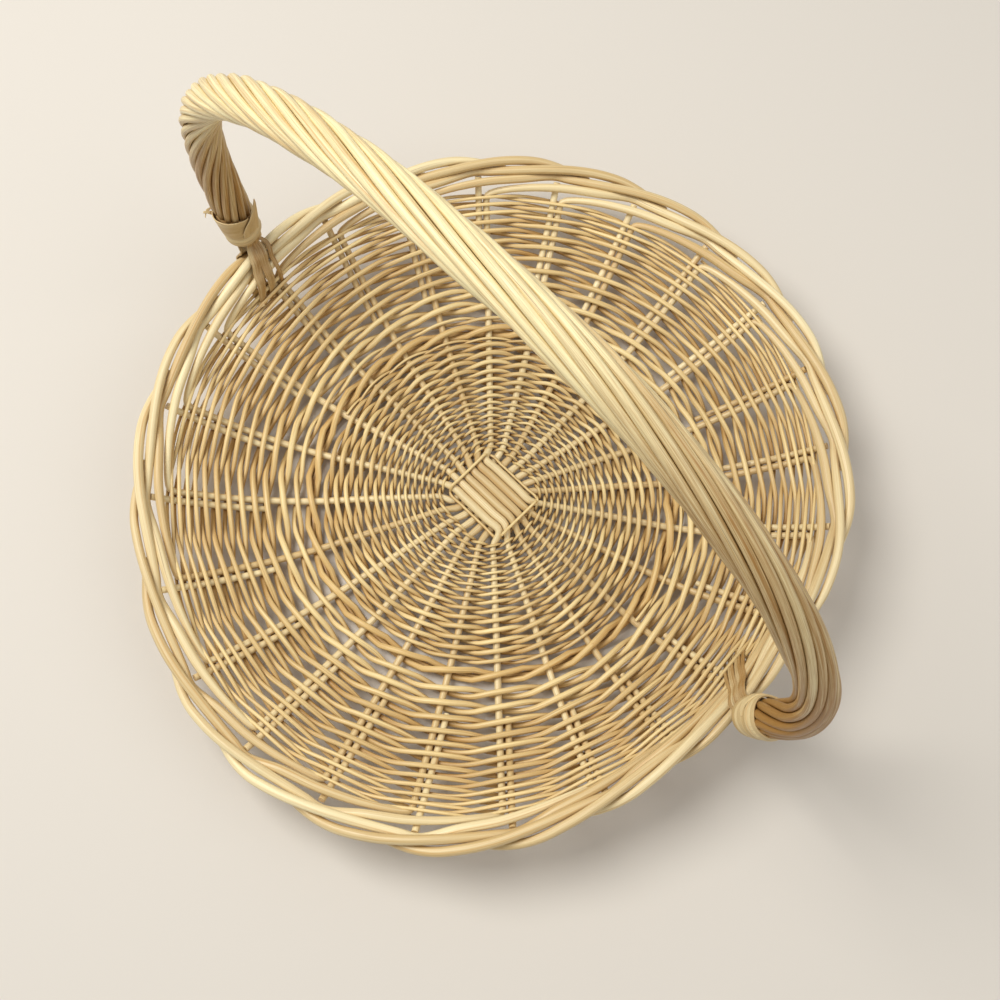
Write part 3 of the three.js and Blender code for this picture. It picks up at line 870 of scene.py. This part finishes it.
foot_share = ROOTED_UP / handle_length
tip_share = TIP_UP / handle_length
for rod_number in range(ROD_COUNT):
    start = math.tau * rod_number / ROD_COUNT
    rooted_left = abs(math.cos(start)) > math.sqrt(0.5)
    from_share = foot_share if rooted_left else tip_share
    to_share = 1 - tip_share if rooted_left else 1 - foot_share
    root_turn = start + (twist(from_share) if rooted_left else twist(to_share))
    wave = chance.uniform(0, math.tau)
    size = HANDLE_ROD_HALF * chance.uniform(0.93, 1.06)
    body = []
    for step in range(121):
        share = from_share + (to_share - from_share) * step / 120
        rise = 0.3 * math.sin(share * 17 + wave) + 0.2 * math.sin(share * 41 + 2 * wave)
        sway = 0.03 * math.sin(share * 13 + 2.3 * wave)
        bound = 1 - ease((min(share, 1 - share) * handle_length - 18) / 22)
        out = round_handle(share, start + twist(share) + sway)
        far = share if rooted_left else 1 - share
        reach = ROD_RING_RADIUS + rise * (1 - bound) - 0.9 * bound
        body.append(thick(handle_point(share) + out * reach, size * (1.05 - 0.14 * far)))
    rod = lay_rod(through(body, 3.0), 3, 0.45)
    # Painted light and shade on the handle rods, partly also their own deeper colour lower down
    tone_up(rod, handle_shade_and_tone)
    beside = ROD_RING_RADIUS * math.sin(root_turn)
    if rooted_left:
        width = ROOT_NARROW if beside > 3 else ROOT_BROAD
        roots = [lay_root(-1, root_turn, width, beside * 1.35, LEFT_ROOT_LEAN)]
    else:
        roots = [
            lay_root(1, root_turn, ROOT_NARROW, beside * 0.95 + apart, RIGHT_ROOT_LEAN)
            for apart in (-SPLIT_APART, SPLIT_APART)
        ]
    node = f"handle_rod_{rod_number + 1:02d}"
    finish_piece([rod] + roots, f"willow_{node}", [node], handle_finish)


# Bindings: a flat strip of cane lapped round each leg

def round_leg(end, turn, up, width, rise, lap):
    """One place of a band on a leg: how far round in turns, how far up, how far its upper edge leans in."""
    share = up / handle_length if end < 0 else 1 - up / handle_length
    out = round_handle(share, math.tau * turn)
    along = handle_heading(share) * -end
    side = (along - out * lap).normalized()
    return (handle_point(share) + out * (BOUND_RADIUS + rise), side, out, width)


def wind(end, turns, middle, spread, lap):
    """The lapped turns. The strip lies closer on one side of the leg than on the other."""
    bands = []
    joins = [0] + [first + chance.uniform(-0.35, 0.35) for first in range(1, turns)] + [turns]
    for first, last in zip(joins, joins[1:]):
        line = []
        for step in range(45):
            turn = first + (last - first + 0.1) * step / 44
            pitch = CANE_PITCH + spread * (0.5 - 1.8 * max(0.0, math.cos(math.tau * (turn - 0.375))) ** 2)
            up = middle + (turn - turns / 2) * pitch
            rise = 0.5 + 0.2 * math.sin(turn * 3.7) - 0.7 * ease(turn - turns + 1)
            width = pitch * 1.1 + 0.3 * math.sin(turn * 5.1)
            line.append(round_leg(end, turn, max(1.5, up), width, rise, lap))
        bands.append(lay_band(line, CANE_THICKNESS, 0.15))
    return bands


def wrap(end, places):
    """A broad end of the strip laid over the turns, given as turn, height up the leg, width and rise."""
    line = []
    for step in range(41):
        share = step / 40 * (len(places) - 1)
        first = min(int(share), len(places) - 2)
        part = ease(share - first)
        turn, up, width, rise = (a + (b - a) * part for a, b in zip(places[first], places[first + 1]))
        line.append(round_leg(end, turn, up, width, rise, -0.06))
    return lay_band(line, CANE_END_THICKNESS)


def stand_up(end, places):
    """A pointed end of the strip that stands along the leg, given as turn, height, width and rise."""
    line = []
    for turn, up, width, rise in places:
        middle, along, out, width = round_leg(end, turn, up, width, rise, 0.0)
        line.append((middle, out.cross(along), out, width))
    return lay_band(line, CANE_END_THICKNESS)


left_band = wind(-1, 7, 19.5, 0.5, 0.25) + [
    wrap(-1, (
        (1.0, 23, 9, 0.3), (0.86, 24, 15, 1.3), (0.7, 25.5, 18, 1.5),
        (0.58, 26.5, 15, 1.6), (0.48, 28, 8, 1.7),
    )),
    stand_up(-1, (
        (0.50, 17, 11, 0.5), (0.49, 22, 12.5, 1.2), (0.47, 27, 12, 2.0),
        (0.44, 32, 9, 3.2), (0.41, 38, 5, 4.4), (0.40, 44, 0.6, 5.6),
    )),
    stand_up(-1, (
        (0.86, 26, 3, 1.2), (0.86, 30, 2.6, 2.0), (0.85, 33, 2, 4.0), (0.84, 35, 1.2, 6.4),
    )),
    stand_up(-1, (
        (0.92, 27, 2.4, 1.0), (0.90, 31, 2.0, 2.6), (0.86, 33.5, 1.4, 5.0), (0.82, 33, 0.8, 6.6),
    )),
]
finish_piece(left_band, "cane_binding_left", ["binding_left"], binding_finish)
right_band = wind(1, 8, 16.8, 1.3, 0.1) + [
    wrap(1, ((0.30, 15, 5, 0.6), (0.42, 15.5, 9, 1.5), (0.52, 16, 7, 1.7), (0.62, 17, 2, 1.6))),
]
finish_piece(right_band, "cane_binding_right", ["binding_right"], binding_finish)


# Floor, light and camera

bpy.ops.object.select_all(action="DESELECT")
bpy.ops.mesh.primitive_plane_add(size=6.0, location=(0, 0, 0))
floor = bpy.context.object
floor.name = "floor"
floor_finish = bpy.data.materials.new("pale_floor")
floor_finish.use_nodes = True
floor_skin = floor_finish.node_tree.nodes["Principled BSDF"]
floor_skin.inputs["Base Color"].default_value = colour(214, 208, 199)
floor_skin.inputs["Roughness"].default_value = 0.8
floor.data.materials.append(floor_finish)

world = bpy.data.worlds.new("studio")
bpy.context.scene.world = world
world.use_nodes = True
backdrop = world.node_tree.nodes["Background"]
backdrop.inputs["Color"].default_value = (1.0, 0.985, 0.96, 1.0)
backdrop.inputs["Strength"].default_value = 0.36


def add_soft_light(name, place, aim, size, power, tint):
    lamp = bpy.data.lights.new(name, "AREA")
    lamp.shape = "DISK"
    lamp.size = size
    lamp.energy = power
    lamp.color = tint
    light = bpy.data.objects.new(name, lamp)
    bpy.context.collection.objects.link(light)
    light.location = place
    light.rotation_euler = (Vector(aim) - Vector(place)).to_track_quat("-Z", "Y").to_euler()


add_soft_light("key_light", (-0.95, -0.35, 1.8), (0, 0, 0.05), 1.2, 36.5, (1.0, 0.985, 0.95))
add_soft_light("fill_light", (0.9, 0.5, 1.3), (0, 0, 0.05), 1.4, 6, (1.0, 0.99, 0.97))

camera_data = bpy.data.cameras.new("camera")
camera_data.lens = 50.4
camera_data.sensor_width = 36.0
camera = bpy.data.objects.new("camera", camera_data)
bpy.context.collection.objects.link(camera)
camera.location = (0.1784, -0.1726, 0.8599)
camera.rotation_euler = (Vector((0.0038, 0.0038, 0)) - camera.location).to_track_quat("-Z", "Y").to_euler()
bpy.context.scene.camera = camera

bpy.context.scene.view_settings.view_transform = "Standard"
